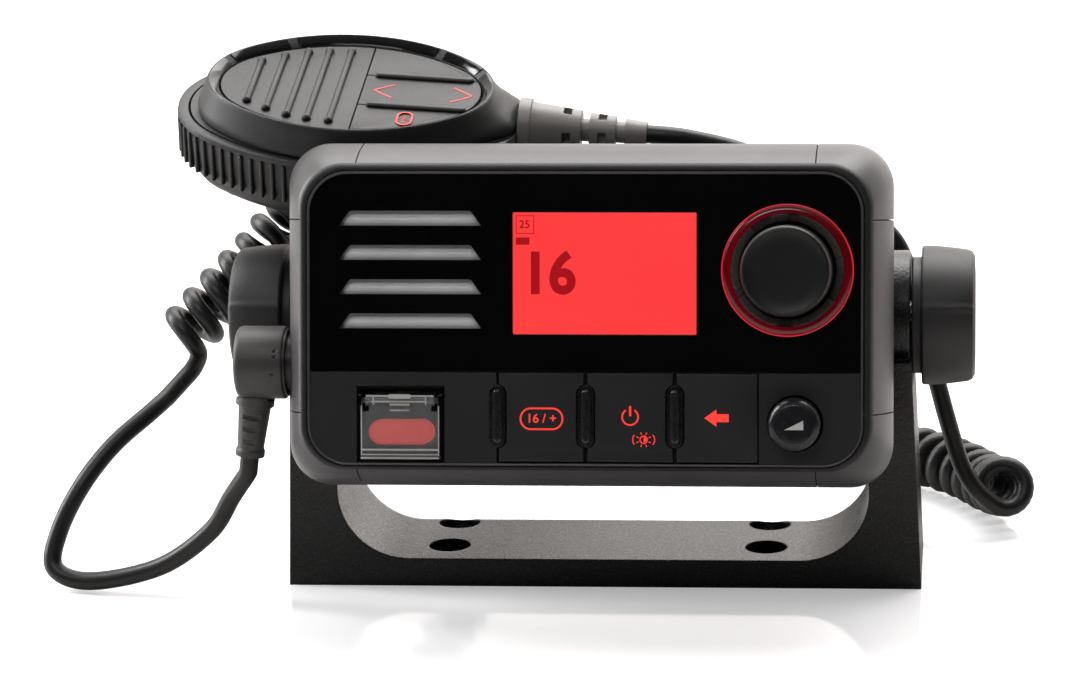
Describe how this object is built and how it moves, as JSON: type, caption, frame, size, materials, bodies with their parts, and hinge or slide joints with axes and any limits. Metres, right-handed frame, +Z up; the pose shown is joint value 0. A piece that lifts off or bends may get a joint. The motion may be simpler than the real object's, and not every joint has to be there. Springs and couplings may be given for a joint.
{
  "type": "fixed-mount vhf marine radio",
  "caption": "Fixed-mount marine VHF radio on a tilting U bracket with two clamp knobs, a curly-cord fist microphone, a rotary selector in a lit ring and a flip-covered distress button.",
  "frame": {"origin": "underside of the bracket's base, straight below the tilt axis and midway between the arms", "axes": "+X to the radio's right as the user sees it, +Y away from the user, +Z up"},
  "size_m": [0.2868, 0.2014, 0.1511],
  "materials": {
    "bracket_plastic": "fine moulded texture, satin",
    "pad_rubber": "matt",
    "bezel_grey": "satin, fine moulded grain",
    "cap_grey": "satin, fine moulded grain",
    "panel_black": "high gloss",
    "rim_grey": "satin",
    "strip_rubber": "satin",
    "key_rubber": "satin with lit red marks",
    "lcd_glass": "clear lens over a red-lit display",
    "lcd_frame": "matt",
    "light_guide": "diffusing",
    "grille_mesh": "fine silvery texture",
    "basket_steel": "satin",
    "cone_paper": "matt",
    "magnet": "plain",
    "ring_red": "gloss, lit red from behind",
    "encoder_metal": "plain",
    "shaft_metal": "turned",
    "knob_black": "satin",
    "board_green": "solder mask",
    "module_metal": "stamped shield",
    "gasket": "matt",
    "chassis_cast": "powder coat",
    "screw_steel": "stainless",
    "brass_insert": "knurled",
    "nickel": "nickel plated",
    "inlet_black": "satin",
    "frame_black": "gloss",
    "cover_clear": "clear moulded plastic",
    "distress_red": "satin, lit red",
    "plug_black": "satin",
    "boot_rubber": "satin",
    "clamp_black": "satin",
    "mic_shell": "satin face with a gloss outer crest",
    "mic_band": "satin, ribbed",
    "mic_key": "satin with red marks",
    "cord_black": "satin"
  },
  "bodies": {
    "bracket": {"bracket": "bracket_plastic", "friction_pads": "pad_rubber", "cord_coil": "cord_black"},
    "radio": {"bezel": "bezel_grey", "corner_caps": "cap_grey", "front_panel": "panel_black", "panel_rim": "rim_grey", "key_strip": "strip_rubber", "lcd_lens": "lcd_glass", "lcd_module": "lcd_frame", "lcd_backlight": "light_guide", "speaker_grille": "grille_mesh", "speaker_basket": "basket_steel", "speaker_cone": "cone_paper", "speaker_magnet": "magnet", "knob_ring": "ring_red", "encoder_main": "encoder_metal", "encoder_vol": "encoder_metal", "main_board": "board_green", "power_module": "module_metal", "case_gasket": "gasket", "rear_chassis": "chassis_cast", "case_screws": "screw_steel", "antenna_socket": "nickel", "power_inlet": "inlet_black", "mic_socket": "nickel", "thread_inserts": "brass_insert", "distress_frame": "frame_black", "cover_pin": "screw_steel", "cord_tail_floor": "cord_black", "plug_body": "plug_black", "plug_ring": "plug_black", "plug_boot": "boot_rubber", "cord_tail_plug": "cord_black"},
    "main_push": {"main_shaft": "shaft_metal"},
    "main_turn": {"main_knob": "knob_black"},
    "vol_push": {"vol_shaft": "shaft_metal"},
    "vol_turn": {"vol_knob": "knob_black"},
    "key_16_b": {"key_16": "key_rubber"},
    "key_power_b": {"key_power": "key_rubber"},
    "key_back_b": {"key_back": "key_rubber"},
    "cover": {"distress_cover": "cover_clear"},
    "distress": {"distress_button": "distress_red"},
    "clamp_left": {"clamp_knob_left": "clamp_black", "clamp_bolt_left": "screw_steel"},
    "clamp_right": {"clamp_knob_right": "clamp_black", "clamp_bolt_right": "screw_steel"},
    "mic": {"mic_front_shell": "mic_shell", "mic_back_shell": "mic_shell", "mic_grip_band": "mic_band", "mic_speaker": "encoder_metal", "mic_board": "board_green", "mic_hang_stud": "nickel", "mic_boot": "boot_rubber", "mic_screws": "screw_steel", "cord_tail_mic": "cord_black"},
    "mic_top": {"mic_key_top": "mic_key"},
    "mic_rock": {"mic_rocker": "mic_key"},
    "mic_bottom": {"mic_key_bottom": "mic_key"},
    "ptt": {"mic_ptt": "mic_key"}
  },
  "joints": [
    {"name": "tilt", "type": "hinge", "parent": "bracket", "child": "radio", "pos_m": [0, 0, 0.076], "axis": [1, 0, 0], "range_deg": [-12, 20], "deforming": ["cord_tail_floor", "cord_tail_plug", "cord_coil"]},
    {"name": "main_knob_push", "type": "slide", "parent": "radio", "child": "main_push", "axis": [0, 0.9763, -0.2164], "range_m": [0, 0.0008], "stiffness_N_per_m": 1250, "springref_m": -0.0008},
    {"name": "main_knob_turn", "type": "hinge", "parent": "main_push", "child": "main_turn", "pos_m": [0.0555, -0.05557, 0.10256], "axis": [0, -0.9763, 0.2164], "continuous": true},
    {"name": "vol_knob_push", "type": "slide", "parent": "radio", "child": "vol_push", "axis": [0, 0.9763, -0.2164], "range_m": [0, 0.0008], "stiffness_N_per_m": 1250, "springref_m": -0.0008},
    {"name": "vol_knob_turn", "type": "hinge", "parent": "vol_push", "child": "vol_turn", "pos_m": [0.0576, -0.0646, 0.06185], "axis": [0, -0.9763, 0.2164], "continuous": true},
    {"name": "key_16_press", "type": "slide", "parent": "radio", "child": "key_16_b", "axis": [0, 0.9763, -0.2164], "range_m": [0, 0.001], "stiffness_N_per_m": 600, "springref_m": -0.001},
    {"name": "key_power_press", "type": "slide", "parent": "radio", "child": "key_power_b", "axis": [0, 0.9763, -0.2164], "range_m": [0, 0.001], "stiffness_N_per_m": 600, "springref_m": -0.001},
    {"name": "key_back_press", "type": "slide", "parent": "radio", "child": "key_back_b", "axis": [0, 0.9763, -0.2164], "range_m": [0, 0.001], "stiffness_N_per_m": 600, "springref_m": -0.001},
    {"name": "cover_flip", "type": "hinge", "parent": "radio", "child": "cover", "pos_m": [-0.0505, -0.06361, 0.06767], "axis": [-1, 0, 0], "range_deg": [0, 110], "stiffness_Nm_per_rad": 0.002, "springref_deg": -28.65},
    {"name": "distress_press", "type": "slide", "parent": "radio", "child": "distress", "axis": [0, 0.9763, -0.2164], "range_m": [0, 0.0015], "stiffness_N_per_m": 666.7, "springref_m": -0.0015},
    {"name": "clamp_left_turn", "type": "hinge", "parent": "radio", "child": "clamp_left", "pos_m": [-0.09, 0, 0.076], "axis": [-1, 0, 0], "continuous": true},
    {"name": "clamp_right_turn", "type": "hinge", "parent": "radio", "child": "clamp_right", "pos_m": [0.09, 0, 0.076], "axis": [1, 0, 0], "continuous": true},
    {"name": "mic_lift", "type": "slide", "parent": "radio", "child": "mic", "axis": [0, 0.2164, 0.9763], "range_m": [0, 0.05], "deforming": ["cord_tail_mic"]},
    {"name": "mic_top_press", "type": "slide", "parent": "mic", "child": "mic_top", "axis": [-0.0634, 0.2924, -0.9542], "range_m": [0, 0.0008], "stiffness_N_per_m": 750, "springref_m": -0.0008},
    {"name": "mic_rocker_tip", "type": "hinge", "parent": "mic", "child": "mic_rock", "pos_m": [-0.0539, 0.0152, 0.1346], "axis": [0.0194, 0.9563, 0.2917], "range_deg": [-1.5, 1.5], "stiffness_Nm_per_rad": 0.3},
    {"name": "mic_bottom_press", "type": "slide", "parent": "mic", "child": "mic_bottom", "axis": [-0.0634, 0.2924, -0.9542], "range_m": [0, 0.0008], "stiffness_N_per_m": 750, "springref_m": -0.0008},
    {"name": "ptt_press", "type": "slide", "parent": "mic", "child": "ptt", "axis": [-0.0194, -0.9563, -0.2917], "range_m": [0, 0.0015], "stiffness_N_per_m": 833.3, "springref_m": -0.0015}
  ]
}
